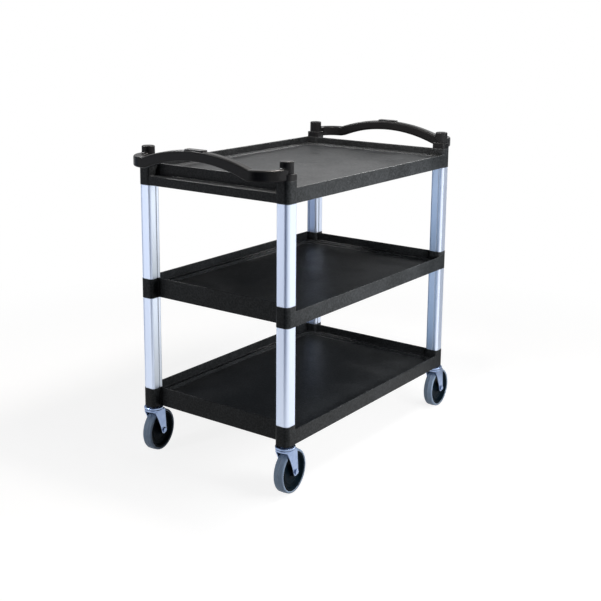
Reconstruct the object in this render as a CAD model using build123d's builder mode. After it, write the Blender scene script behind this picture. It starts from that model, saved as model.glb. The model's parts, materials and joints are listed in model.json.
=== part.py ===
from build123d import *
import os
from math import atan, cos, degrees, pi, radians, sin

os.makedirs("parts", exist_ok=True)

# Whole cart: +X runs along its length, -Y is its low open front, the floor is Z = 0
cart_width = 540.0
post_x = 417.5
post_y = 248.0
corners = {
    "front_left": (-1, -1),
    "front_right": (1, -1),
    "rear_left": (-1, 1),
    "rear_right": (1, 1),
}

# Posts: hollow aluminium extrusions whose widest rounded corner points out of the cart
post_size = 42.0
post_wall = 2.5
post_radii = (14.0, 9.0, 7.0)
groove_width = 5.0
groove_depth = 1.5
groove_shift = 5.0
end_groove_shift = 8.0

# Shelves: moulded trays with corner blocks that the posts stand on
shelf_bottoms = {"bottom": 148.0, "middle": 486.0, "top": 823.0}
shelf_height = 58.0
top_shelf_height = 61.0
front_height = 42.5
shelf_wall = 5.0
deck_thickness = 4.0
lower_wall_end = 408.5
top_wall_end = 403.5
top_band_end = 437.0
top_band_height = 27.0
lower_ledge_depth = 27.0
lower_deck_depth = 35.0
top_ledge_depth = 22.0
top_deck_depth = 25.0
ledge_width = 12.0
deck_corner_radius = 42.0
rim_radius = 2.0
lower_floor_radius = 4.0
top_floor_radius = 1.2
step_slope = 30.0
deck_radius = 1.0
rib_thickness = 3.0
rib_depth = 9.0
rib_rows = 3
rib_columns = 5
block_size = 44.0
block_radii = (15.0, 10.0, 8.0)
spigot_length = 25.0
spigot_gap = 0.2

# Handles: a socket on each end of an arched bar
bar_x = 493.0
bar_width = 28.0
bar_height = 31.5
bar_lift = 0.3
bar_radius = 6.0
bend_radius = 58.0
under_rise = 35.0
under_foot_radius = 45.0
over_rise = 32.5
over_foot_radius = 16.0
collar_height = 17.0
cap_blend = 5.0
cap_radius = 19.4
cap_draft = 0.5
cap_height = 51.0
cap_edge = 3.0
peg_radius = 13.5
peg_height = 25.0
peg_gap = 0.2
peg_roof = 6.0
pad_length = 66.0
pad_width = 22.0
pad_height = 3.5
pad_corner = 4.0
plate_length = 56.0
plate_width = 13.0
plate_thickness = 1.4
plate_sink = 1.2
plate_gap = 0.1

# Handle screws, driven up from inside the corner blocks
screw_radius = 3.0
screw_gap = 0.1
screw_length = 25.0
screw_head_radius = 5.5
screw_head_height = 4.0
screw_bore_radius = 8.0

# Casters: each trails behind its swivel and stands turned by its own small angle
caster_turns = {"front_left": 4.5, "front_right": 2.5, "rear_left": 8.5, "rear_right": 5.0}
wheel_radius = 63.5
tyre_width = 30.0
tyre_shoulder = 3.8
hub_radius = 56.0
hub_rim_half = 13.0
rim_inner_radius = 50.0
rim_bevel = 1.5
barrel_half = 16.6
barrel_radius = 13.0
barrel_flare = 4.0
web_half = 5.0
web_draft = 2.0
web_inner_radius = 28.0
web_outer_radius = 45.0
caster_trail = 24.0
axle_radius = 4.0
axle_gap = 0.1
bush_radius = 6.0
bush_gap = 0.08
leg_inner = 17.3
leg_thickness = 3.2
leg_tip_radius = 11.5
leg_front = -19.0
leg_back = 30.0
leg_hollow_x = -3.5
leg_hollow_z = 101.0
crown_bottom = 129.5
crown_thickness = 3.3
crown_fold = 2.5
upper_race_radius = 28.8
upper_race_top = 144.6
lower_race_radius = 27.6
race_edge = 1.6
race_neck_radius = 17.0
race_split = 137.8
race_gap = 2.0
ball_radius = 2.5
ball_gap = 0.1
ball_ring = 20.0
ball_count = 16
pin_radius = 5.0
pin_gap = 0.08
pin_head_radius = 8.0
pin_head_height = 2.2
stud_radius = 6.0
stud_length = 40.0
insert_radius = 10.0
insert_length = 45.0
hex_width = 13.0
bolt_head_height = 4.5
nut_height = 5.0
bolt_tail = 1.5
hex_bevel = 0.8

# Heights and places that follow from the driving sizes
wall_tops = {
    "bottom": shelf_bottoms["bottom"] + shelf_height,
    "middle": shelf_bottoms["middle"] + shelf_height,
    "top": shelf_bottoms["top"] + top_shelf_height,
}
socket_bottom = wall_tops["top"]
bar_bottom = socket_bottom + bar_lift
bar_top = bar_bottom + bar_height
bend_y = post_y - bend_radius
pad_base = bar_top + over_rise - bar_radius
pad_top = bar_top + over_rise + pad_height
leg_outer = leg_inner + leg_thickness
crown_top = crown_bottom + crown_thickness
caster_top = shelf_bottoms["bottom"]
edge_tolerance = 0.01


def write_piece(piece, name):
    """Label one finished piece and write it to its own file."""
    piece.part.label = name
    export_step(piece.part, f"parts/{name}.step")


def round_corners(outline, corner, radii):
    """Round a square's corners by three radii: outside the cart, at both sides and inside."""
    outer, side, inner = radii
    diagonal = Axis((0, 0, 0), (corner[0], corner[1], 0))
    fillet(outline.vertices().sort_by(diagonal)[1:3], side)
    fillet(outline.vertices().sort_by(diagonal)[-1], outer)
    fillet(outline.vertices().sort_by(diagonal)[0], inner)


def corner_plane(corner, height):
    """Give the level plane on one post's axis at a height."""
    return Plane((corner[0] * post_x, corner[1] * post_y, height))


def edges_at(piece, height, shortest):
    """Pick the level edges at one height that are longer than a given length."""
    level = piece.edges().filter_by_position(Axis.Z, height - edge_tolerance, height + edge_tolerance)
    return level.filter_by(lambda edge: edge.length > shortest)


# Posts
def make_post(name, corner, low, high):
    """Extrude one hollow post with a groove on each of its two inner faces."""
    with BuildPart() as post:
        with BuildSketch(corner_plane(corner, low)) as section:
            Rectangle(post_size, post_size)
            round_corners(section, corner, post_radii)
            offset(amount=-post_wall, mode=Mode.SUBTRACT)
            with Locations((-corner[0] * groove_shift, -corner[1] * post_size / 2)):
                Rectangle(groove_width, 2 * groove_depth, mode=Mode.SUBTRACT)
            with Locations((-corner[0] * post_size / 2, corner[1] * end_groove_shift)):
                Rectangle(2 * groove_depth, groove_width, mode=Mode.SUBTRACT)
        extrude(amount=high - low)
    write_piece(post, name)


# Shelves
def shelf_tray(bottom, top, ends, depths, floor_radius):
    """Mould a tray with three full walls, a low front, a stepped deck and a ribbed hollow underside."""
    height = top - bottom
    wall_end, band_end = ends
    ledge = top - depths[0]
    deck = top - depths[1]
    underside = deck - deck_thickness
    inner_length = 2 * (wall_end - shelf_wall)
    inner_width = cart_width - 2 * shelf_wall
    deck_length = inner_length - 2 * ledge_width
    deck_width = inner_width - 2 * ledge_width
    with BuildPart() as tray:
        with BuildSketch(Plane.XY.offset(bottom)):
            Rectangle(2 * wall_end, cart_width)
        extrude(amount=height)
        if band_end > wall_end:
            with BuildSketch(Plane.XY.offset(bottom)):
                Rectangle(2 * band_end, 2 * post_y)
            extrude(amount=top_band_height)
            with BuildSketch(Plane.XY.offset(bottom)):
                Rectangle(2 * (band_end - shelf_wall), 2 * post_y)
            extrude(amount=top_band_height - shelf_wall, mode=Mode.SUBTRACT)
            fillet(edges_at(tray, bottom + top_band_height, post_y), rim_radius)
        with BuildSketch(Plane.XY.offset(bottom)):
            Rectangle(inner_length, inner_width)
        extrude(amount=underside - bottom, mode=Mode.SUBTRACT)
        with BuildSketch(Plane.XY.offset(top)):
            Rectangle(inner_length, inner_width)
        extrude(amount=ledge - top, mode=Mode.SUBTRACT)
        fillet(edges_at(tray, ledge, post_y), floor_radius)
        with BuildSketch(Plane.XY.offset(ledge)):
            RectangleRounded(deck_length, deck_width, deck_corner_radius)
        extrude(amount=deck - ledge, taper=step_slope, mode=Mode.SUBTRACT)
        fillet(edges_at(tray, deck, deck_radius), deck_radius)
        with BuildSketch(Plane.XY.offset(bottom + front_height)):
            with Locations((0, shelf_wall / 2 - cart_width / 2)):
                Rectangle(2 * wall_end, shelf_wall)
        extrude(amount=height - front_height, mode=Mode.SUBTRACT)
        fillet(edges_at(tray, top, post_y), rim_radius)
        fillet(edges_at(tray, bottom + front_height, post_x), rim_radius)
        fillet(edges_at(tray, bottom, post_y), rim_radius)
        with BuildSketch(Plane.XY.offset(underside)):
            with GridLocations(inner_length / rib_columns, 0, rib_columns - 1, 1):
                Rectangle(rib_thickness, inner_width)
            with GridLocations(0, inner_width / rib_rows, 1, rib_rows - 1):
                Rectangle(inner_length, rib_thickness)
        extrude(amount=-rib_depth)
    return tray


def add_spigot(corner, height, length):
    """Add the spigot that plugs into a post, running up or down from a corner block."""
    trim = post_wall + spigot_gap
    size = post_size - 2 * trim
    with BuildSketch(corner_plane(corner, height)) as spigot:
        Rectangle(size, size)
        round_corners(spigot, corner, [radius - trim for radius in post_radii])
    extrude(spigot.sketch, amount=length)


def make_shelf(level):
    """Join a tray with its four corner blocks and the spigots, pegs and bores of its level."""
    bottom = shelf_bottoms[level]
    top = wall_tops[level]
    if level == "top":
        ends = (top_wall_end, top_band_end)
        depths = (top_ledge_depth, top_deck_depth)
        floor_radius = top_floor_radius
    else:
        ends = (lower_wall_end, lower_wall_end)
        depths = (lower_ledge_depth, lower_deck_depth)
        floor_radius = lower_floor_radius
    tray = shelf_tray(bottom, top, ends, depths, floor_radius)
    with BuildPart() as shelf:
        add(tray.part)
        for corner in corners.values():
            with BuildSketch(corner_plane(corner, bottom)) as block:
                Rectangle(block_size, block_size)
                round_corners(block, corner, block_radii)
            extrude(amount=top - bottom)
            if level != "top":
                add_spigot(corner, top, spigot_length)
            if level != "bottom":
                add_spigot(corner, bottom, -spigot_length)
            if level == "top":
                with BuildSketch(corner_plane(corner, top)):
                    Circle(peg_radius)
                extrude(amount=peg_height)
                with BuildSketch(corner_plane(corner, bottom - spigot_length)):
                    Circle(screw_bore_radius)
                extrude(amount=top + peg_height - peg_roof - bottom + spigot_length, mode=Mode.SUBTRACT)
                with BuildSketch(corner_plane(corner, top + peg_height)):
                    Circle(screw_radius + screw_gap)
                extrude(amount=-peg_roof, mode=Mode.SUBTRACT)
            if level == "bottom":
                with BuildSketch(corner_plane(corner, bottom)):
                    Circle(insert_radius)
                extrude(amount=insert_length, mode=Mode.SUBTRACT)
    write_piece(shelf, f"{level}_shelf")


# Handles
def arch_line(level, rise, foot_radius):
    """Draw the upper or lower curve of a handle bar, from one bend to the other."""
    slope = 2 * atan(rise / bend_y)
    crest_radius = bend_y / sin(slope) - foot_radius
    foot = JernArc((-bend_y, level), (1, 0), foot_radius, degrees(slope))
    crest = JernArc(foot @ 1, foot % 1, crest_radius, -2 * degrees(slope))
    JernArc(crest @ 1, crest % 1, foot_radius, degrees(slope))


def blend_edges(handle, side, end):
    """Pick the edges where a handle bar runs into the cap over one of its posts."""
    low = socket_bottom + collar_height + edge_tolerance
    high = bar_top + edge_tolerance
    axis = Vector(side * post_x, end * post_y, 0)
    picked = []
    for edge in handle.edges():
        middle = edge.position_at(0.5)
        away = Vector(middle.X, middle.Y, 0) - axis
        beside_cap = cap_radius - cap_draft < away.length < cap_radius + edge_tolerance
        if beside_cap and low < middle.Z < high and away.X * side > 0:
            picked.append(edge)
    return picked


def make_handle(name, side):
    """Bend one handle: an arched bar between two capped sockets, with a raised pad at its middle."""
    screw_top = socket_bottom + peg_height - peg_roof + screw_length
    with BuildPart() as handle:
        with BuildSketch(Plane.YZ.offset(side * bar_x - bar_width / 2)):
            with BuildLine():
                arch_line(bar_bottom, under_rise, under_foot_radius)
                arch_line(bar_top, over_rise, over_foot_radius)
                Line((-bend_y, bar_bottom), (-bend_y, bar_top))
                Line((bend_y, bar_bottom), (bend_y, bar_top))
            make_face()
        extrude(amount=bar_width)
        with BuildSketch(Plane.XY.offset(bar_bottom)):
            for end in (-1, 1):
                with BuildLine():
                    arm = Line((side * post_x, end * post_y), (side * (bar_x - bend_radius), end * post_y))
                    JernArc(arm @ 1, arm % 1, bend_radius, -90 * side * end)
                trace(line_width=bar_width)
        extrude(amount=bar_height)
        bar_edges = handle.edges().filter_by(lambda edge: abs(edge.center().X) > post_x + edge_tolerance)
        fillet(bar_edges.filter_by(Axis.Z, reverse=True).filter_by(Axis.X, reverse=True), bar_radius)
        with BuildSketch(Plane.XY.offset(pad_base)):
            with Locations((side * bar_x, 0)):
                RectangleRounded(pad_width, pad_length, pad_corner)
        extrude(amount=pad_top - pad_base)
        fillet(handle.faces().sort_by(Axis.Z)[-1].edges(), rim_radius)
        with BuildSketch(Plane.XY.offset(pad_top)):
            with Locations((side * bar_x, 0)):
                Rectangle(plate_width, plate_length)
        extrude(amount=-plate_sink, mode=Mode.SUBTRACT)
        for end in (-1, 1):
            seat = corner_plane((side, end), socket_bottom)
            with BuildSketch(seat) as collar:
                Rectangle(block_size, block_size)
                round_corners(collar, (side, end), block_radii)
            extrude(amount=collar_height)
            with BuildSketch(Plane(seat.origin, x_dir=(1, 0, 0), z_dir=(0, -1, 0))) as profile:
                with BuildLine():
                    Polyline(
                        (0, 0),
                        (cap_radius, 0),
                        (cap_radius - cap_draft, cap_height),
                        (0, cap_height),
                        close=True,
                    )
                make_face()
                fillet(profile.vertices().group_by(Axis.Y)[-1].sort_by(Axis.X)[-1], cap_edge)
            revolve(axis=Axis(seat.origin, (0, 0, 1)))
            fillet(blend_edges(handle, side, end), cap_blend)
            with BuildSketch(seat):
                Circle(peg_radius + peg_gap)
            extrude(amount=peg_height + peg_gap, mode=Mode.SUBTRACT)
            with BuildSketch(seat.offset(screw_top - socket_bottom)):
                Circle(screw_radius)
            extrude(amount=-screw_length, mode=Mode.SUBTRACT)
    write_piece(handle, name)


def make_handle_plate(name, side):
    """Cut the bare plate that is let into a handle's pad."""
    with BuildPart() as plate:
        with BuildSketch(Plane.XY.offset(pad_top - plate_sink)):
            with Locations((side * bar_x, 0)):
                Rectangle(plate_width - 2 * plate_gap, plate_length - 2 * plate_gap)
        extrude(amount=plate_thickness)
    write_piece(plate, name)


def make_handle_screws():
    """Place the four screws that hold the handles down, as one group."""
    roof = socket_bottom + peg_height - peg_roof
    with BuildPart() as screws:
        for corner in corners.values():
            with BuildSketch(corner_plane(corner, roof)):
                Circle(screw_head_radius)
            extrude(amount=-screw_head_height)
            with BuildSketch(corner_plane(corner, roof)):
                Circle(screw_radius)
            extrude(amount=screw_length)
    write_piece(screws, "handle_screws")


# Casters
def make_caster_inserts():
    """Place the four threaded sleeves that sit in the bottom shelf's blocks, as one group."""
    with BuildPart() as inserts:
        for corner in corners.values():
            with BuildSketch(corner_plane(corner, caster_top)):
                Circle(insert_radius)
                Circle(stud_radius, mode=Mode.SUBTRACT)
            extrude(amount=insert_length)
    write_piece(inserts, "caster_inserts")


def make_caster_stem(name, swivel, upright):
    """Turn the fixed half of a swivel: stud, upper race and the pin that the fork turns on."""
    split_top = race_split + race_gap
    with BuildPart() as stem:
        with BuildSketch(upright):
            with BuildLine():
                Polyline(
                    (0, crown_bottom - pin_head_height),
                    (pin_head_radius, crown_bottom - pin_head_height),
                    (pin_head_radius, crown_bottom - pin_gap),
                    (pin_radius, crown_bottom - pin_gap),
                    (pin_radius, split_top),
                    (upper_race_radius, split_top),
                    (upper_race_radius, upper_race_top),
                    (race_neck_radius, upper_race_top),
                    (race_neck_radius, caster_top),
                    (stud_radius, caster_top),
                    (stud_radius, caster_top + stud_length),
                    (0, caster_top + stud_length),
                    close=True,
                )
            make_face()
        revolve(axis=swivel)
        fillet(edges_at(stem, upper_race_top, 2 * pi * race_neck_radius + race_edge), race_edge)
        with Locations(Location((swivel.position.X, swivel.position.Y, race_split + race_gap / 2))):
            Torus(ball_ring, ball_radius + ball_gap, mode=Mode.SUBTRACT)
    write_piece(stem, name)


def make_swivel_balls(name, level):
    """Ring the balls that run between the two races, as one group."""
    with BuildPart(level.offset(race_split + race_gap / 2)) as balls:
        with PolarLocations(ball_ring, ball_count):
            Sphere(ball_radius)
    write_piece(balls, name)


def make_fork(name, level, upright, swivel):
    """Press a fork: a crown under the lower race and two legs that taper to the axle."""
    tip_front = (caster_trail - leg_tip_radius, wheel_radius)
    tip_back = (caster_trail + leg_tip_radius, wheel_radius)
    with BuildPart() as fork:
        with BuildSketch(level.offset(crown_bottom)):
            with Locations(((leg_front + leg_back) / 2, 0)):
                Rectangle(leg_back - leg_front, 2 * leg_outer)
        extrude(amount=crown_thickness)
        for offset_out in (-leg_outer, leg_inner):
            with BuildSketch(upright.offset(offset_out)):
                with BuildLine():
                    Line((leg_front, crown_bottom), (leg_front, crown_top))
                    Line((leg_front, crown_top), (leg_back, crown_top))
                    Line((leg_back, crown_top), tip_back)
                    ThreePointArc(tip_back, (caster_trail, wheel_radius - leg_tip_radius), tip_front)
                    ThreePointArc(tip_front, (leg_hollow_x, leg_hollow_z), (leg_front, crown_bottom))
                make_face()
                with Locations((caster_trail, wheel_radius)):
                    Circle(axle_radius + axle_gap, mode=Mode.SUBTRACT)
            extrude(amount=leg_thickness)
        fillet(edges_at(fork, crown_top, leg_back - leg_front - edge_tolerance), crown_fold)
        with BuildSketch(level.offset(crown_top)):
            Circle(lower_race_radius)
        extrude(amount=race_split - crown_top)
        fillet(edges_at(fork, race_split, 2 * lower_race_radius), race_edge)
        with BuildSketch(level.offset(crown_bottom)):
            Circle(pin_radius + pin_gap)
        extrude(amount=race_split - crown_bottom, mode=Mode.SUBTRACT)
        with Locations(Location((swivel.position.X, swivel.position.Y, race_split + race_gap / 2))):
            Torus(ball_ring, ball_radius + ball_gap, mode=Mode.SUBTRACT)
    write_piece(fork, name)


def make_axle_bolt(name, axle_front):
    """Turn the bolt that carries a wheel, with its head on the front leg."""
    with BuildPart() as bolt:
        with BuildSketch(axle_front.offset(leg_outer)):
            RegularPolygon(hex_width / 2, 6, major_radius=False)
        extrude(amount=bolt_head_height)
        chamfer(bolt.faces().sort_by(Axis(axle_front.origin, axle_front.z_dir))[-1].edges(), hex_bevel)
        with BuildSketch(axle_front.offset(leg_outer)):
            Circle(axle_radius)
        extrude(amount=-(2 * leg_outer + nut_height + bolt_tail))
    write_piece(bolt, name)


def make_axle_nut(name, axle_front):
    """Make the nut on the rear leg."""
    with BuildPart() as nut:
        with BuildSketch(axle_front.offset(-leg_outer)):
            RegularPolygon(hex_width / 2, 6, major_radius=False)
        extrude(amount=-nut_height)
        chamfer(nut.faces().sort_by(Axis(axle_front.origin, axle_front.z_dir))[0].edges(), hex_bevel)
        with BuildSketch(axle_front.offset(-leg_outer)):
            Circle(axle_radius)
        extrude(amount=-nut_height, mode=Mode.SUBTRACT)
    write_piece(nut, name)


def make_axle_bush(name, axle_front):
    """Cut the spacer tube that the bolt clamps between the legs and the hub turns on."""
    with BuildPart() as bush:
        with BuildSketch(axle_front.offset(-leg_inner)):
            Circle(bush_radius)
            Circle(axle_radius + axle_gap, mode=Mode.SUBTRACT)
        extrude(amount=2 * leg_inner)
    write_piece(bush, name)


def make_hub(name, wheel_profile, axle):
    """Turn a dished wheel centre with a barrel round the bush and a rim under the tyre."""
    with BuildPart() as hub:
        with BuildSketch(wheel_profile):
            with BuildLine():
                Polyline(
                    (0, bush_radius + bush_gap),
                    (barrel_half, bush_radius + bush_gap),
                    (barrel_half, barrel_radius),
                    (web_half + barrel_flare, barrel_radius + barrel_flare),
                    (web_half, web_inner_radius),
                    (web_half + web_draft, web_outer_radius),
                    (hub_rim_half - rim_bevel, rim_inner_radius),
                    (hub_rim_half, rim_inner_radius + rim_bevel),
                    (hub_rim_half, hub_radius),
                    (0, hub_radius),
                    close=True,
                )
            make_face()
            mirror(about=Plane.YZ)
        revolve(axis=axle)
    write_piece(hub, name)


def make_tyre(name, wheel_profile, axle):
    """Turn a solid tyre with rounded shoulders."""
    with BuildPart() as tyre:
        with BuildSketch(wheel_profile) as section:
            with Locations((0, (hub_radius + wheel_radius) / 2)):
                Rectangle(tyre_width, wheel_radius - hub_radius)
            fillet(section.vertices().group_by(Axis.Y)[-1], tyre_shoulder)
        revolve(axis=axle)
    write_piece(tyre, name)


def make_caster(corner_name):
    """Make every piece of one caster in its own turned frame."""
    corner = corners[corner_name]
    turn = radians(caster_turns[corner_name])
    along = Vector(cos(turn), sin(turn), 0)
    across = Vector(-sin(turn), cos(turn), 0)
    foot = Vector(corner[0] * post_x, corner[1] * post_y, 0)
    axle_centre = foot + along * caster_trail + Vector(0, 0, wheel_radius)
    level = Plane(foot, x_dir=along, z_dir=(0, 0, 1))
    upright = Plane(foot, x_dir=along, z_dir=-across)
    axle_front = Plane(axle_centre, x_dir=along, z_dir=-across)
    wheel_profile = Plane(axle_centre, x_dir=across, z_dir=along)
    swivel = Axis(foot, (0, 0, 1))
    axle = Axis(axle_centre, across)
    make_caster_stem(f"caster_stem_{corner_name}", swivel, upright)
    make_swivel_balls(f"swivel_balls_{corner_name}", level)
    make_fork(f"caster_fork_{corner_name}", level, upright, swivel)
    make_axle_bolt(f"axle_bolt_{corner_name}", axle_front)
    make_axle_nut(f"axle_nut_{corner_name}", axle_front)
    make_axle_bush(f"axle_bush_{corner_name}", axle_front)
    make_hub(f"wheel_hub_{corner_name}", wheel_profile, axle)
    make_tyre(f"tyre_{corner_name}", wheel_profile, axle)


for level_name in shelf_bottoms:
    make_shelf(level_name)
for corner_name, corner_signs in corners.items():
    make_post(f"lower_post_{corner_name}", corner_signs, wall_tops["bottom"], shelf_bottoms["middle"])
    make_post(f"upper_post_{corner_name}", corner_signs, wall_tops["middle"], shelf_bottoms["top"])
    make_caster(corner_name)
for side_name, side_sign in (("left", -1), ("right", 1)):
    make_handle(f"handle_{side_name}", side_sign)
    make_handle_plate(f"handle_plate_{side_name}", side_sign)
make_handle_screws()
make_caster_inserts()
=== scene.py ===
import json
import logging
import math
from collections.abc import Mapping, Sequence
from dataclasses import dataclass
from enum import Enum

import bmesh
import bpy
from mathutils import Matrix, Vector


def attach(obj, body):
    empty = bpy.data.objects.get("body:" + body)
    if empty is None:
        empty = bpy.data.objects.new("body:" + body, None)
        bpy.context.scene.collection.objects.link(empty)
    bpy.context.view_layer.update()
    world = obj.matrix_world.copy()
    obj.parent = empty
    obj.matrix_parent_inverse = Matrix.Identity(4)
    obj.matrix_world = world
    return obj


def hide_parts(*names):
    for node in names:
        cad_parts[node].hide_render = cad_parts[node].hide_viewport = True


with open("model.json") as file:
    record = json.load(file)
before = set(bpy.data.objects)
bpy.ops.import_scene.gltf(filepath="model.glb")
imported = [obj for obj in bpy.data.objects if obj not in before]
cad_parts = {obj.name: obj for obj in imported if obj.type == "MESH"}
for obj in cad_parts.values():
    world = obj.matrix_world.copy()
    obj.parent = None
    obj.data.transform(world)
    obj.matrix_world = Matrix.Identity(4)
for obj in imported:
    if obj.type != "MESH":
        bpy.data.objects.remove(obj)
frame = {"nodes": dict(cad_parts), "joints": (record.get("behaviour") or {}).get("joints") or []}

bpy.context.view_layer.update()
MM = 0.001
WHITE = "#ffffff"
# Near black, painted into corners and recesses as shade.
PAINTED_SHADE = "#070708"
LOG = logging.getLogger("utility_cart")
Tree = bpy.types.NodeTree
Socket = bpy.types.NodeSocket
Point = tuple[float, float]
Span = tuple[float, float]
Place = tuple[float, float, float]


class Corner(Enum):
    """The cart's corners, as the pieces at them are named."""

    FRONT_LEFT = "front_left"
    FRONT_RIGHT = "front_right"
    REAR_LEFT = "rear_left"
    REAR_RIGHT = "rear_right"


class Level(Enum):
    """The three shelves, from the floor up."""

    BOTTOM = "bottom"
    MIDDLE = "middle"
    TOP = "top"


class Storey(Enum):
    """The two lengths of post between the three shelves."""

    LOWER = "lower"
    UPPER = "upper"


class End(Enum):
    """The two ends of the cart that carry a handle."""

    LEFT = "left"
    RIGHT = "right"


# Small tools

def linear(colour: str) -> tuple[float, float, float, float]:
    """Turn an sRGB hex colour into linear light.

    Args:
        colour: Six hex digits after a hash sign.

    Returns:
        Red, green, blue and a full alpha.
    """
    parts = [int(colour[i:i + 2], 16) / 255 for i in (1, 3, 5)]
    light = [p / 12.92 if p <= 0.04045 else ((p + 0.055) / 1.055) ** 2.4 for p in parts]
    return (*light, 1.0)


def per(size: float) -> float:
    """Give the pattern scale that makes one feature this many millimetres wide."""
    return 1 / (size * MM)


def add_node(
    tree: Tree, kind: str, inputs: Mapping[str | int, object] | None = None, **settings: object
) -> bpy.types.Node:
    """Add one node with its settings, and fill its inputs.

    Args:
        tree: The node tree that takes the node.
        kind: Blender's name for the node type.
        inputs: For each input's name or place, a value or another node's output.
        **settings: The node's own properties.

    Returns:
        The new node.
    """
    node = tree.nodes.new(kind)
    for key, value in settings.items():
        setattr(node, key, value)
    for key, value in (inputs or {}).items():
        if isinstance(value, Socket):
            tree.links.new(value, node.inputs[key])
        else:
            node.inputs[key].default_value = value
    return node


def new_material(name: str) -> tuple[bpy.types.Material, Tree]:
    """Make a material with no nodes yet.

    Args:
        name: The material's name.

    Returns:
        The material and its node tree.
    """
    made = bpy.data.materials.new(name)
    made.use_nodes = True
    made.node_tree.nodes.clear()
    return made, made.node_tree


def turn(
    name: str, profile: Sequence[Point], place: Matrix, steps: int, crease: float = 32.0
) -> bpy.types.Object:
    """Turn a closed outline about an axle into one solid ring.

    Args:
        name: The piece's name.
        profile: Corners of the outline in millimetres, as radius and distance along the axle.
        place: The axle's frame, with its own Z along the axle.
        steps: How many facets go round.
        crease: Edges that bend by more degrees than this stay crisp.

    Returns:
        The new object, linked to the scene.
    """
    work = bmesh.new()
    rings = []
    for step in range(steps):
        angle = 2 * math.pi * step / steps
        across = Vector((math.cos(angle), math.sin(angle), 0))
        spots = [place @ (across * r * MM + Vector((0, 0, along * MM))) for r, along in profile]
        rings.append([work.verts.new(spot) for spot in spots])
    count = len(profile)
    for step, ring in enumerate(rings):
        after = rings[(step + 1) % steps]
        for i in range(count):
            work.faces.new((ring[i], after[i], after[(i + 1) % count], ring[(i + 1) % count]))
    bmesh.ops.recalc_face_normals(work, faces=work.faces)
    mesh = bpy.data.meshes.new(name)
    work.to_mesh(mesh)
    work.free()
    mesh.shade_smooth()
    mesh.set_sharp_from_angle(angle=math.radians(crease))
    piece = bpy.data.objects.new(name, mesh)
    bpy.context.scene.collection.objects.link(piece)
    return piece


def round_off(start: Point, corner: Point, end: Point, steps: int, pull: float = 0.75) -> list[Point]:
    """Round one corner of an outline with a smooth quarter curve.

    Args:
        start: Where the curve leaves the first side.
        corner: The sharp corner that it replaces.
        end: Where it joins the next side.
        steps: How many pieces the curve has.
        pull: How strongly the corner draws the curve towards itself.

    Returns:
        The curve's points, from start to end.
    """
    points = []
    for step in range(steps + 1):
        t = step / steps
        a, b, c = (1 - t) ** 2, 2 * t * (1 - t) * pull, t ** 2
        whole = a + b + c
        points.append(tuple((a * s + b * k + c * e) / whole for s, k, e in zip(start, corner, end)))
    return points


# Finishes

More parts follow.
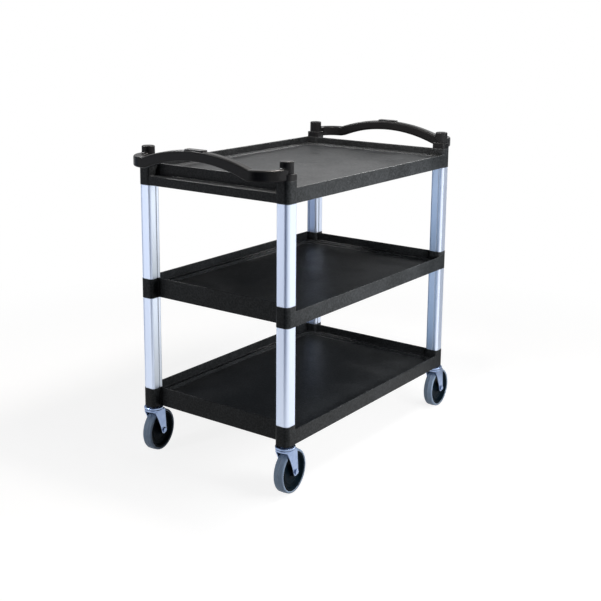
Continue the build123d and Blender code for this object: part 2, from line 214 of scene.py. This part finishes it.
@dataclass(frozen=True)
class Finish:
    """A surface as it leaves the maker, with what it shows the eye.

    Attributes:
        name: The material's name.
        dark: Colour of the pattern's dark parts.
        light: Colour of its light parts.
        smooth: Roughness where the surface shows the least wear.
        rough: Roughness where it shows the most wear.
        edge_wear_and_highlight: Colour of edges, which stands for wear and also paints a highlight along
            them.
        metallic: One for bare metal.
        ior: Index of refraction.
        specular: How strong the gloss is; 0.5 is all that the index of refraction gives.
        edge: Width of an edge that takes the edge colour, in millimetres.
        most_wear_and_highlight: Most of the edge colour that an edge takes.
        least_edge_share: Share of that which an edge takes where the surface shows the least wear.
        shade_reach: How far the painted shade reaches out of a corner, in millimetres.
        shade_share: Most of the painted shade's dark colour that a corner takes.
        relief: Depth of the pattern in millimetres.
        strength: How strongly that depth shows.
        sunk: Whether high values of the pattern lie low.
        samples: How many rays look for edges and corners.
        flat_bend: Cosine between the true and the rounded normal where an edge begins.
        full_bend: The same cosine where an edge takes the edge colour in full.
    """

    name: str
    dark: str
    light: str
    smooth: float
    rough: float
    edge_wear_and_highlight: str
    metallic: float = 0.0
    ior: float = 1.5
    specular: float = 0.5
    edge: float = 2.0
    most_wear_and_highlight: float = 0.5
    least_edge_share: float = 0.5
    shade_reach: float = 12.0
    shade_share: float = 0.6
    relief: float = 0.02
    strength: float = 0.3
    sunk: bool = False
    samples: int = 6
    flat_bend: float = 0.995
    full_bend: float = 0.9

    def material(self) -> bpy.types.Material:
        """Give the finish's material, made the first time that it is asked for.

        Returns:
            The material that all pieces in this finish share.
        """
        known = bpy.data.materials.get(self.name)
        if known:
            return known
        made, tree = new_material(self.name)
        place = add_node(tree, "ShaderNodeTexCoord").outputs["Object"]
        soft = add_node(tree, "ShaderNodeBevel", {"Radius": self.edge * MM}, samples=self.samples).outputs[0]
        tone, wear, height = self.pattern(tree, place)
        bump = add_node(
            tree,
            "ShaderNodeBump",
            {"Strength": self.strength, "Distance": self.relief * MM, "Height": height, "Normal": soft},
            invert=self.sunk,
        )
        gloss = add_node(
            tree, "ShaderNodeMapRange", {"Value": wear, "To Min": self.smooth, "To Max": self.rough}
        )
        shader = add_node(
            tree,
            "ShaderNodeBsdfPrincipled",
            {
                "Base Color": self.colour(tree, tone, self.edges(tree, soft, wear)),
                "Roughness": gloss.outputs[0],
                "Normal": bump.outputs[0],
                "Metallic": self.metallic,
                "IOR": self.ior,
                "Specular IOR Level": self.specular,
            },
        )
        add_node(tree, "ShaderNodeOutputMaterial", {"Surface": shader.outputs[0]})
        return made

    def colour(self, tree: Tree, tone: Socket, wear_and_highlight_share: Socket) -> Socket:
        """Mix the finish's colour: its pattern, then an edge colour that stands for wear and paints a
        highlight, then painted shade in the corners.

        Args:
            tree: The material's nodes.
            tone: The pattern's tone, from dark to light.
            wear_and_highlight_share: The share of the edge colour, for wear and painted highlight.

        Returns:
            The mixed colour.
        """
        body = add_node(
            tree, "ShaderNodeMix", {0: tone, 6: linear(self.dark), 7: linear(self.light)}, data_type="RGBA"
        )
        # The edges take a pale colour: wear, and a painted highlight along them.
        edged = add_node(
            tree, "ShaderNodeMix", {0: wear_and_highlight_share, 6: body.outputs[2], 7: linear(self.edge_wear_and_highlight)}, data_type="RGBA"
        )
        # Painted shade: corners, recesses and gaps between parts are darkened towards near black by ambient
        # occlusion.
        openness = add_node(
            tree, "ShaderNodeAmbientOcclusion", {"Distance": self.shade_reach * MM}, samples=self.samples
        )
        shade_amount = add_node(
            tree, "ShaderNodeMapRange", {"Value": openness.outputs["AO"], "To Min": self.shade_share, "To Max": 0.0}
        )
        shaded = add_node(
            tree,
            "ShaderNodeMix",
            {0: shade_amount.outputs[0], 6: edged.outputs[2], 7: linear(PAINTED_SHADE)},
            data_type="RGBA",
        )
        return shaded.outputs[2]

    def edges(self, tree: Tree, soft: Socket, wear: Socket) -> Socket:
        """Find how much of the edge colour, for wear and painted highlight, an edge takes.

        Args:
            tree: The material's nodes.
            soft: The normal with edges rounded off.
            wear: The patchy wear of the surface, from none to full.

        Returns:
            The share of the edge colour, nothing on flat faces.
        """
        face = add_node(tree, "ShaderNodeNewGeometry").outputs["Normal"]
        bend = add_node(tree, "ShaderNodeVectorMath", {0: soft, 1: face}, operation="DOT_PRODUCT")
        near = add_node(
            tree,
            "ShaderNodeMapRange",
            {
                "Value": bend.outputs["Value"],
                "From Min": self.flat_bend,
                "From Max": self.full_bend,
                "To Max": self.most_wear_and_highlight,
            },
        )
        patchy = add_node(
            tree, "ShaderNodeMapRange", {"Value": wear, "To Min": self.least_edge_share, "To Max": 1.0}
        )
        share = add_node(
            tree, "ShaderNodeMath", {0: near.outputs[0], 1: patchy.outputs[0]}, operation="MULTIPLY"
        )
        return share.outputs[0]

    def pattern(self, tree: Tree, place: Socket) -> tuple[Socket, Socket, Socket]:
        """Draw the finish's own pattern.

        Args:
            tree: The material's nodes.
            place: The point on the piece, in metres.

        Returns:
            The tone from dark to light, the wear from smooth to rough, and the relief's height.
        """
        raise NotImplementedError


@dataclass(frozen=True)
class PebbledPlastic(Finish):
    """Injection moulding from an etched mould: a pebble grain, with broad cloudy flow marks.

    Attributes:
        pebble: Width of one pebble in millimetres.
        cloud: Width of one flow mark in millimetres.
        tone_span: Lowest and highest sum of both patterns that the colours cover.
        wear_span: Lowest and highest value of the flow marks that the roughness covers.
    """

    strength: float = 0.5
    sunk: bool = True
    pebble: float = 4.0
    cloud: float = 110.0
    tone_span: Span = (0.6, 1.3)
    wear_span: Span = (0.35, 0.65)

    def pattern(self, tree: Tree, place: Socket) -> tuple[Socket, Socket, Socket]:
        """Draw rounded pebbles over slow clouds.

        Args:
            tree: The material's nodes.
            place: The point on the piece, in metres.

        Returns:
            The tone from dark to light, the wear from smooth to rough, and the relief's height.
        """
        pebbles = add_node(
            tree,
            "ShaderNodeTexVoronoi",
            {"Vector": place, "Scale": per(self.pebble), "Smoothness": 0.6},
            feature="SMOOTH_F1",
        ).outputs["Distance"]
        clouds = add_node(
            tree,
            "ShaderNodeTexNoise",
            {"Vector": place, "Scale": per(self.cloud), "Detail": 4.0, "Roughness": 0.6},
        ).outputs["Fac"]
        mixed = add_node(tree, "ShaderNodeMath", {0: pebbles, 1: clouds}, operation="ADD")
        low, high = self.tone_span
        tone = add_node(
            tree, "ShaderNodeMapRange", {"Value": mixed.outputs[0], "From Min": low, "From Max": high}
        )
        low, high = self.wear_span
        wear = add_node(tree, "ShaderNodeMapRange", {"Value": clouds, "From Min": low, "From Max": high})
        return tone.outputs[0], wear.outputs[0], pebbles


@dataclass(frozen=True)
class DrawnMetal(Finish):
    """Extruded and anodised metal: straight lines that the die leaves along the length.

    Attributes:
        line: Distance between lines in millimetres.
        run: Length over which a line changes in millimetres.
        tone_span: Lowest and highest value of the lines that the colours and the roughness cover.
    """

    line: float = 1.6
    run: float = 700.0
    tone_span: Span = (0.3, 0.7)

    def pattern(self, tree: Tree, place: Socket) -> tuple[Socket, Socket, Socket]:
        """Draw lines along the height.

        Args:
            tree: The material's nodes.
            place: The point on the piece, in metres.

        Returns:
            The tone from dark to light, the wear from smooth to rough, and the relief's height.
        """
        stretched = add_node(
            tree,
            "ShaderNodeMapping",
            {"Vector": place, "Scale": (per(self.line), per(self.line), per(self.run))},
        )
        lines = add_node(
            tree,
            "ShaderNodeTexNoise",
            {"Vector": stretched.outputs[0], "Scale": 1.0, "Detail": 3.0, "Roughness": 0.6},
        ).outputs["Fac"]
        low, high = self.tone_span
        tone = add_node(tree, "ShaderNodeMapRange", {"Value": lines, "From Min": low, "From Max": high})
        return tone.outputs[0], tone.outputs[0], lines


@dataclass(frozen=True)
class CloudedSurface(Finish):
    """Plated or moulded surface: soft clouds of tone over a fine even grit.

    Attributes:
        cloud: Width of one cloud in millimetres.
        grit: Width of one grain of grit in millimetres.
        tone_span: Lowest and highest value of the clouds that the colours cover.
        wear_share: How much of the clouds' tone the roughness follows.
        wear_least: How much wear the smoothest places show.
    """

    cloud: float = 14.0
    grit: float = 1.2
    tone_span: Span = (0.32, 0.68)
    wear_share: float = 0.7
    wear_least: float = 0.15

    def pattern(self, tree: Tree, place: Socket) -> tuple[Socket, Socket, Socket]:
        """Draw clouds and grit.

        Args:
            tree: The material's nodes.
            place: The point on the piece, in metres.

        Returns:
            The tone from dark to light, the wear from smooth to rough, and the relief's height.
        """
        clouds = add_node(
            tree,
            "ShaderNodeTexNoise",
            {"Vector": place, "Scale": per(self.cloud), "Detail": 4.0, "Roughness": 0.55},
        ).outputs["Fac"]
        grit = add_node(tree, "ShaderNodeTexNoise", {"Vector": place, "Scale": per(self.grit), "Detail": 2.0})
        low, high = self.tone_span
        tone = add_node(tree, "ShaderNodeMapRange", {"Value": clouds, "From Min": low, "From Max": high})
        wear = add_node(
            tree,
            "ShaderNodeMath",
            {0: tone.outputs[0], 1: self.wear_share, 2: self.wear_least},
            operation="MULTIPLY_ADD",
        )
        return tone.outputs[0], wear.outputs[0], grit.outputs["Fac"]


# Shelves: black polypropylene, moulded in an etched tool. The grain scatters light, so the walls look
# soft grey where a lamp meets them and the decks only shine at a low angle. The real pebbles are about
# 1 mm wide, which is under a third of a pixel, so they are drawn at 5 mm to show at all.
# The shelves' corners and the bays' inner walls are painted dark as shade, reaching 30 mm, and their edges
# pale, a painted highlight besides wear.
SHELF_PLASTIC = PebbledPlastic(
    "pebbled_black_polypropylene", "#17191a", "#303234", 0.33, 0.44, "#66686a",
    ior=1.49, specular=0.09, edge=3.0, shade_reach=30.0, shade_share=0.7, pebble=5.0, relief=0.4,
)
# Handles: the same plastic from a smoother tool, so the upper edge draws a clear line of light while the
# sides stay black; a pale edge colour paints part of that line as a highlight, besides wear. Its grain, well
# under 1 mm wide, is drawn at 2.5 mm.
HANDLE_PLASTIC = PebbledPlastic(
    "fine_grain_black_polypropylene", "#141415", "#1a1a1b", 0.28, 0.36, "#4a4a4b",
    ior=1.49, specular=0.11, pebble=2.5, relief=0.04,
)
# Plates: a bare insert of glossier styrene plastic, a little smoother than the handle round it.
PLATE_PLASTIC = CloudedSurface(
    "satin_black_abs", "#18181a", "#222224", 0.3, 0.4, "#4a4a4c", ior=1.54, edge=0.6, cloud=20.0
)
# Posts: drawn aluminium, satin anodised, a cool silver with faint lines along its length.
# Die lines are a few hundredths of a millimetre apart; they are drawn 1.6 mm apart to show.
# Its corners and joints are painted darker as shade, and its edges a little paler, a painted highlight
# besides wear.
POST_METAL = DrawnMetal(
    "satin_anodised_aluminium", "#d6e2f7", "#e2ebfb", 0.42, 0.5, "#f0f4fa",
    metallic=1.0, edge=1.0, shade_share=0.8,
)
# Caster pressings: steel with bright zinc, a cool blue silver with cloudy passivation.
# Its gaps, such as the one between the race rings, are painted dark as shade, and its edges pale, a painted
# highlight besides wear.
ZINC_STEEL = CloudedSurface(
    "bright_zinc_plated_steel", "#8a9fc4", "#a3b6d6", 0.26, 0.4, "#d3dbea",
    metallic=1.0, edge=0.8, shade_reach=3.5, shade_share=0.9,
)
# Balls and bush: ground steel, dark and nearly mirror bright under its grease.
BEARING_STEEL = CloudedSurface(
    "ground_bearing_steel", "#8f9296", "#a6a9ad", 0.12, 0.25, "#c3c6ca", metallic=1.0, edge=0.5, cloud=6.0
)
# Wheel centres: moulded nylon, near black; their edges take a paler colour that paints a highlight, besides
# wear, and draws the rings in paler lines.
HUB_PLASTIC = CloudedSurface(
    "moulded_black_nylon", "#08131a", "#10202a", 0.3, 0.4, "#46525c",
    ior=1.53, specular=0.015, edge=1.0, most_wear_and_highlight=0.9, cloud=25.0,
)
# Tyres: cast non-marking rubber, a dull blue grey; the soft sheen on its rounded shoulders is partly lit and
# partly a painted highlight in its pale edge colour.
TYRE_RUBBER = CloudedSurface(
    "cast_grey_rubber", "#8095af", "#90a5bf", 0.5, 0.66, "#d3deea",
    ior=1.52, edge=3.0, most_wear_and_highlight=0.8, cloud=18.0, grit=1.8, relief=0.06,
)


def dress(node: str, finish: Finish) -> bpy.types.Object:
    """Give one carried-over piece its finish.

    Args:
        node: The piece's name.
        finish: The finish that it gets.

    Returns:
        The piece.
    """
    piece = frame["nodes"][node]
    for slot in piece.material_slots:
        slot.material = finish.material()
    LOG.info("%s in %s", node, finish.name)
    return piece


# Sub-assemblies

@dataclass
class Shelf:
    """One moulded tray shelf with its corner blocks."""

    level: Level

    def build(self) -> None:
        """Dress the tray in pebbled plastic."""
        dress(f"{self.level.value}_shelf", SHELF_PLASTIC)


@dataclass
class Post:
    """One length of post at one corner."""

    corner: Corner
    storey: Storey

    def build(self) -> bpy.types.Object:
        """Dress the extrusion in satin aluminium, and give it back."""
        return dress(f"{self.storey.value}_post_{self.corner.value}", POST_METAL)


@dataclass
class Handle:
    """One arched push handle with the bare plate in its pad."""

    end: End

    def build(self) -> None:
        """Dress the bar and the plate."""
        dress(f"handle_{self.end.value}", HANDLE_PLASTIC)
        dress(f"handle_plate_{self.end.value}", PLATE_PLASTIC)


@dataclass
class Fasteners:
    """Hidden hardware inside the corner blocks."""

    def build(self) -> None:
        """Dress the screws and the threaded sleeves."""
        dress("handle_screws", ZINC_STEEL)
        dress("caster_inserts", ZINC_STEEL)


@dataclass
class Caster:
    """One swivel caster: fixed race, fork, axle and a wheel with a turned tyre and centre.

    Sizes are in millimetres, radii from the axle and half widths from the wheel's middle.
    """

    corner: Corner
    # Tyre: tread, crown, rounded shoulders and a thin mould seam
    tread_radius: float = 63.25
    crown_drop: float = 0.5
    crown_break: float = 0.6
    tyre_half: float = 15.0
    shoulder: float = 4.0
    seat_radius: float = 56.0
    seat_half: float = 12.0
    seat_chamfer: float = 0.4
    seam_half: float = 0.5
    seam_rise: float = 0.25
    # Centre: rim with its lip
    rim_half: float = 13.0
    rim_inner: float = 50.0
    rim_land: float = 1.5
    rim_round: float = 1.0
    lip_run: float = 1.5
    lip_draft: float = 0.4
    lip_drop: float = 1.6
    # Centre: dished web with one raised ring
    web_half: float = 5.0
    web_outer: float = 45.0
    web_inner: float = 25.0
    dish_run: float = 2.0
    dish_rise: float = 2.2
    dish_reach: float = 4.0
    ring_radius: float = 36.0
    ring_half: float = 1.2
    ring_rise: float = 1.1
    # Centre: barrel round the axle
    barrel_half: float = 16.6
    barrel_radius: float = 13.0
    barrel_round: float = 1.2
    foot_run: float = 3.0
    foot_draft: float = 1.0
    foot_rise: float = 4.0
    bore_radius: float = 6.08
    bore_chamfer: float = 0.6
    steps: int = 128

    def axle(self) -> Matrix:
        """Find the wheel's axle.

        Returns:
            The frame at the wheel's middle with its Z along the axle.
        """
        joint = next(j for j in frame["joints"] if j["name"] == f"wheel_spin_{self.corner.value}")
        turned = Vector(joint["axis"]).to_track_quat("Z", "Y").to_matrix().to_4x4()
        return Matrix.Translation(joint["pos_m"]) @ turned

    def tyre_profile(self) -> list[Point]:
        """Outline the tyre: a crowned tread with a mould seam, round shoulders and a flat bore.

        Returns:
            The outline's corners, as radius and distance along the axle.
        """
        edge = self.tyre_half - self.shoulder
        side = self.tread_radius - self.crown_drop
        half = [
            (self.tread_radius, self.seam_half),
            (self.tread_radius - self.crown_drop / 2, edge * self.crown_break),
        ]
        half += round_off((side, edge), (side, self.tyre_half), (side - self.shoulder, self.tyre_half), 8)
        half += [
            (self.seat_radius + self.seat_chamfer, self.tyre_half - self.seat_chamfer),
            (self.seat_radius, self.seat_half),
        ]
        seam = [(self.tread_radius + self.seam_rise, 0.0)]
        return [(r, -a) for r, a in reversed(half)] + seam + half

    def hub_profile(self) -> list[Point]:
        """Outline the centre: a rim, a dished web with one raised ring, and a barrel round the axle.

        Returns:
            The outline's corners, as radius and distance along the axle.
        """
        seat, rim, web = self.seat_radius, self.rim_half, self.web_half
        barrel, top = self.barrel_radius, self.barrel_half
        ring_out = self.ring_radius + self.ring_half
        ring_in = self.ring_radius - self.ring_half
        ring_top = web + self.ring_rise
        half = [(seat, rim - self.rim_land)]
        half += round_off((seat, rim - self.rim_round), (seat, rim), (seat - self.rim_round, rim), 3)
        half += round_off(
            (self.rim_inner + self.lip_run, rim),
            (self.rim_inner, rim),
            (self.rim_inner - self.lip_draft, rim - self.lip_drop),
            4,
        )
        half += round_off(
            (self.web_outer + self.dish_run, web + self.dish_rise),
            (self.web_outer, web),
            (self.web_outer - self.dish_reach, web),
            4,
        )
        half += round_off((ring_out + self.ring_half, web), (ring_out, web), (ring_out, ring_top), 3)
        half += round_off((ring_in, ring_top), (ring_in, web), (ring_in - self.ring_half, web), 3)
        half += round_off(
            (self.web_inner, web),
            (barrel + self.foot_run, web),
            (barrel + self.foot_draft, web + self.foot_rise),
            5,
        )
        half += round_off(
            (barrel, top - self.barrel_round), (barrel, top), (barrel - self.barrel_round, top), 4
        )
        half += [(self.bore_radius + self.bore_chamfer, top), (self.bore_radius, top - self.bore_chamfer)]
        return half + [(r, -a) for r, a in reversed(half)]

    def build(self) -> None:
        """Turn the wheel's two pieces and dress everything on the caster."""
        corner = self.corner.value
        wheel = (
            ("tyre", self.tyre_profile(), TYRE_RUBBER, "grey_rubber"),
            ("wheel_hub", self.hub_profile(), HUB_PLASTIC, "hub_black_plastic"),
        )
        for kind, profile, finish, slot in wheel:
            piece = turn(f"turned_{kind}_{corner}", profile, self.axle(), self.steps)
            piece.data.materials.append(finish.material())
            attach(piece, f"wheel_{corner}")
            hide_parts(f"{kind}_{corner}")
            LOG.info("%s in %s", piece.name, finish.name)
        for kind in ("caster_stem", "caster_fork", "axle_bolt", "axle_nut"):
            dress(f"{kind}_{corner}", ZINC_STEEL)
        for kind in ("swivel_balls", "axle_bush"):
            dress(f"{kind}_{corner}", BEARING_STEEL)


# Studio

@dataclass(frozen=True)
class Softbox:
    """One soft lamp.

    Attributes:
        name: The lamp's name.
        place: Where it hangs, in metres.
        aim: The point that it faces, in metres.
        width: Its width in metres.
        height: Its height in metres.
        power: Its watts.
        colour: The light's colour.
        gloss: Whether it shows in reflections.
        matt: Whether it lights matt surfaces.
        beam: How wide it spreads its light, in degrees.
    """

    name: str
    place: Place
    aim: Place
    width: float
    height: float
    power: float
    colour: str = WHITE
    gloss: bool = True
    matt: bool = True
    beam: float = 180.0

    def build(self) -> None:
        """Hang the lamp, out of the camera's sight."""
        data = bpy.data.lights.new(self.name, "AREA")
        data.shape = "RECTANGLE"
        data.size = self.width
        data.size_y = self.height
        data.energy = self.power
        data.spread = math.radians(self.beam)
        data.color = linear(self.colour)[:3]
        lamp = bpy.data.objects.new(self.name, data)
        lamp.location = self.place
        lamp.rotation_euler = (Vector(self.aim) - Vector(self.place)).to_track_quat("-Z", "Y").to_euler()
        lamp.visible_camera = False
        lamp.visible_glossy = self.gloss
        lamp.visible_diffuse = self.matt
        bpy.context.scene.collection.objects.link(lamp)


@dataclass(frozen=True)
class Card:
    """One upright card that only shows in reflections.

    Attributes:
        name: The card's name.
        foot: The middle of its lower edge on the floor, in metres.
        bearing: The way its face looks, in degrees from +X.
        width: Its width in metres.
        height: Its height in metres.
        tone: Its colour.
        level: How bright it is; at one its colour shows as written.
        posts_only: Whether the posts alone see it, while all else sees through it.
    """

    name: str
    foot: Point
    bearing: float
    width: float
    height: float
    tone: str
    level: float = 1.0
    posts_only: bool = False

    def build(self, posts: bpy.types.Collection) -> None:
        """Stand the card on the floor, out of the camera's sight.

        Args:
            posts: The group of posts, for a card that they alone see.
        """
        side = math.radians(self.bearing + 90)
        half = Vector((math.cos(side), math.sin(side), 0)) * self.width / 2
        foot = Vector((*self.foot, 0))
        rise = Vector((0, 0, self.height))
        outline = [foot - half, foot + half, foot + half + rise, foot - half + rise]
        mesh = bpy.data.meshes.new(self.name)
        mesh.from_pydata(outline, [], [(0, 1, 2, 3)])
        paint, tree = new_material(f"{self.name}_paint")
        glow = add_node(tree, "ShaderNodeEmission", {"Color": linear(self.tone), "Strength": self.level})
        card = bpy.data.objects.new(self.name, mesh)
        if self.posts_only:
            clear = add_node(tree, "ShaderNodeBsdfTransparent")
            glow = add_node(tree, "ShaderNodeAddShader", {0: clear.outputs[0], 1: glow.outputs[0]})
            card.light_linking.receiver_collection = posts
        add_node(tree, "ShaderNodeOutputMaterial", {"Surface": glow.outputs[0]})
        mesh.materials.append(paint)
        card.visible_camera = False
        card.visible_diffuse = False
        card.visible_shadow = False
        bpy.context.scene.collection.objects.link(card)


# Lamps: the two at the front and the strip light the walls, the one overhead gives the top deck its
# sheen, and the two rims draw lines of light on edges without lighting the plastic.
LAMPS = (
    Softbox("front_key", (0.45, -0.85, 2.1), (0.15, -0.15, 0.7), 0.9, 0.5, 17.0, gloss=False),
    Softbox(
        "front_softbox", (0.05, -1.25, 0.62), (0.05, 0.0, 0.74), 0.8, 0.3, 9.0, gloss=False, beam=105.0
    ),
    Softbox("overhead_softbox", (-0.1, -0.22, 1.55), (-0.1, -0.22, 0.86), 0.25, 0.25, 18.0, "#fff6ee"),
    Softbox("back_rim", (-0.2, 1.6, 2.6), (0.0, 0.0, 0.9), 0.8, 0.4, 80.0, matt=False),
    Softbox("right_rim", (2.0, -0.2, 2.3), (0.0, -0.2, 0.8), 0.4, 0.6, 50.0, matt=False),
    Softbox("left_strip", (-2.6, 0.9, 1.0), (-0.4, 0.0, 0.5), 0.3, 2.0, 14.0, gloss=False),
)
# Cards: pale ones to the left and in front give the posts' faces their light, blue ones the cool bands
# at their corners, and dark ones behind the bays keep the decks black.
CARDS = (
    Card("left_card", (-2.3, 1.4), 148.0, 1.4, 1.6, "#f6f8ff", 1.6),
    Card("blue_grey_card", (-1.15, -0.27), 180.0, 0.74, 1.2, "#1a2e50"),
    Card("pale_blue_card", (-1.15, -0.82), 180.0, 0.36, 1.2, "#8fa2bd"),
    Card("front_card_left", (0.75, -1.035), 0.0, 0.83, 1.2, WHITE, 1.6),
    Card("front_card_right", (0.75, -0.46), 0.0, 0.32, 1.2, "#e4ebf6", 0.12),
    Card("front_strip", (0.1, -1.4), 295.0, 0.15, 1.2, WHITE, 2.5),
    Card("rear_card", (-0.55, 0.96), 144.0, 0.6, 1.25, "#7d8ca6"),
    Card("bay_card", (0.65, 0.385), 90.0, 1.7, 0.84, "#24282e"),
    Card("bay_card_blue", (0.21, 0.37), 90.0, 0.2, 0.84, "#879cbe", posts_only=True),
    Card("near_bay_card", (0.2645, -0.177), 151.7, 0.2, 0.82, "#5b7a93", posts_only=True),
    Card("left_bay_card", (-0.3815, 0.192), 315.9, 0.08, 0.82, "#b5b1a4", posts_only=True),
    Card("low_bay_card", (0.65, 0.375), 90.0, 1.7, 0.5, "#4a4f57"),
    Card("slate_card", (1.2, 0.88), 36.0, 2.4, 1.18, "#5d636b"),
)


@dataclass
class Studio:
    """A white sweep: pale floor, white surround, soft lamps and cards.

    Attributes:
        floor_half: Half the floor's side in metres.
        floor_tone: The floor's own colour, which takes the shadow.
        floor_glow: Light of its own that lifts the floor to white where it is seen.
        shadow_inner: Distance in metres up to which the floor shows the shadow in full.
        shadow_outer: Distance in metres at which the floor is plain white.
        ambient: Strength of the even fill on matt surfaces.
    """

    floor_half: float = 12.0
    floor_tone: str = "#8c8c8c"
    floor_glow: float = 0.86
    shadow_inner: float = 0.9
    shadow_outer: float = 2.2
    ambient: float = 0.07

    def seen(self, tree: Tree) -> Socket:
        """Give one for rays that show the surround itself: sight, gloss and glass.

        Args:
            tree: The nodes that need it.

        Returns:
            The output that is one for those rays and zero for the rest.
        """
        path = add_node(tree, "ShaderNodeLightPath")
        first = add_node(
            tree,
            "ShaderNodeMath",
            {0: path.outputs["Is Camera Ray"], 1: path.outputs["Is Glossy Ray"]},
            operation="MAXIMUM",
        )
        both = add_node(
            tree,
            "ShaderNodeMath",
            {0: first.outputs[0], 1: path.outputs["Is Transmission Ray"]},
            operation="MAXIMUM",
        )
        return both.outputs[0]

    def build_world(self) -> None:
        """Make the surround: white to look at, a low even fill for matt surfaces."""
        world = bpy.data.worlds.new("white_surround")
        world.use_nodes = True
        tree = world.node_tree
        tree.nodes.clear()
        fill = add_node(tree, "ShaderNodeBackground", {"Color": linear(WHITE), "Strength": self.ambient})
        white = add_node(tree, "ShaderNodeBackground", {"Color": linear(WHITE), "Strength": 1.0})
        mixed = add_node(
            tree, "ShaderNodeMixShader", {0: self.seen(tree), 1: fill.outputs[0], 2: white.outputs[0]}
        )
        add_node(tree, "ShaderNodeOutputWorld", {"Surface": mixed.outputs[0]})
        bpy.context.scene.world = world

    def build_floor(self) -> None:
        """Lay the floor: it takes the cart's shadow near the cart and fades into the white surround."""
        half = self.floor_half
        outline = [(-half, -half, 0), (half, -half, 0), (half, half, 0), (-half, half, 0)]
        mesh = bpy.data.meshes.new("studio_floor")
        mesh.from_pydata(outline, [], [(0, 1, 2, 3)])
        floor = bpy.data.objects.new("studio_floor", mesh)
        bpy.context.scene.collection.objects.link(floor)
        paint, tree = new_material("matt_white_sweep")
        place = add_node(tree, "ShaderNodeTexCoord").outputs["Object"]
        reach = add_node(tree, "ShaderNodeVectorMath", {0: place}, operation="LENGTH")
        near = add_node(
            tree,
            "ShaderNodeMapRange",
            {
                "Value": reach.outputs["Value"],
                "From Min": self.shadow_inner,
                "From Max": self.shadow_outer,
                "To Min": 1.0,
                "To Max": 0.0,
            },
            interpolation_type="SMOOTHSTEP",
        )
        seen = self.seen(tree)
        matt = add_node(tree, "ShaderNodeBsdfDiffuse", {"Color": linear(self.floor_tone)})
        lit = add_node(tree, "ShaderNodeMath", {0: seen, 1: self.floor_glow}, operation="MULTIPLY")
        glow = add_node(tree, "ShaderNodeEmission", {"Strength": lit.outputs[0]})
        floor_near = add_node(tree, "ShaderNodeAddShader", {0: matt.outputs[0], 1: glow.outputs[0]})
        white = add_node(tree, "ShaderNodeEmission", {"Strength": seen})
        mixed = add_node(
            tree,
            "ShaderNodeMixShader",
            {0: near.outputs[0], 1: white.outputs[0], 2: floor_near.outputs[0]},
        )
        add_node(tree, "ShaderNodeOutputMaterial", {"Surface": mixed.outputs[0]})
        mesh.materials.append(paint)

    def build(self, posts: Sequence[bpy.types.Object]) -> None:
        """Set up the surround, the floor, every card and every lamp.

        Args:
            posts: The posts, which some cards are for.
        """
        self.build_world()
        self.build_floor()
        group = bpy.data.collections.new("posts")
        for post in posts:
            group.objects.link(post)
        for card in CARDS:
            card.build(group)
        for lamp in LAMPS:
            lamp.build()
        bpy.context.scene.view_settings.view_transform = "Standard"


@dataclass
class CameraRig:
    """The camera at the photograph's viewing angle.

    Its place is in metres, its lens and sensor in millimetres, its angles in degrees and its rise in
    shares of the picture's width.
    """

    place: Place = (-2.6182, -1.8834, 1.3292)
    heading: float = 54.151
    pitch: float = 11.792
    roll: float = 0.478
    lens: float = 63.674
    sensor: float = 36.0
    rise: float = -0.1206

    def build(self) -> None:
        """Set the camera up and make it the scene's own."""
        data = bpy.data.cameras.new("camera")
        data.lens = self.lens
        data.sensor_width = self.sensor
        data.shift_y = self.rise
        camera = bpy.data.objects.new("camera", data)
        camera.matrix_world = (
            Matrix.Translation(self.place)
            @ Matrix.Rotation(math.radians(-self.heading), 4, "Z")
            @ Matrix.Rotation(math.radians(90 - self.pitch), 4, "X")
            @ Matrix.Rotation(math.radians(self.roll), 4, "Z")
        )
        bpy.context.scene.collection.objects.link(camera)
        bpy.context.scene.camera = camera


def write_sizes() -> None:
    """Bring the scene's boxes up to date."""
    bpy.context.view_layer.update()


def main() -> None:
    """Build the cart's sub-assemblies in order, then the studio and the camera."""
    logging.basicConfig(level=logging.INFO, format="%(name)s: %(message)s")
    for level in Level:
        Shelf(level).build()
    posts = [Post(corner, storey).build() for corner in Corner for storey in Storey]
    for end in End:
        Handle(end).build()
    Fasteners().build()
    for corner in Corner:
        Caster(corner).build()
    Studio().build(posts)
    CameraRig().build()
    write_sizes()


if __name__ == "__main__":
    main()
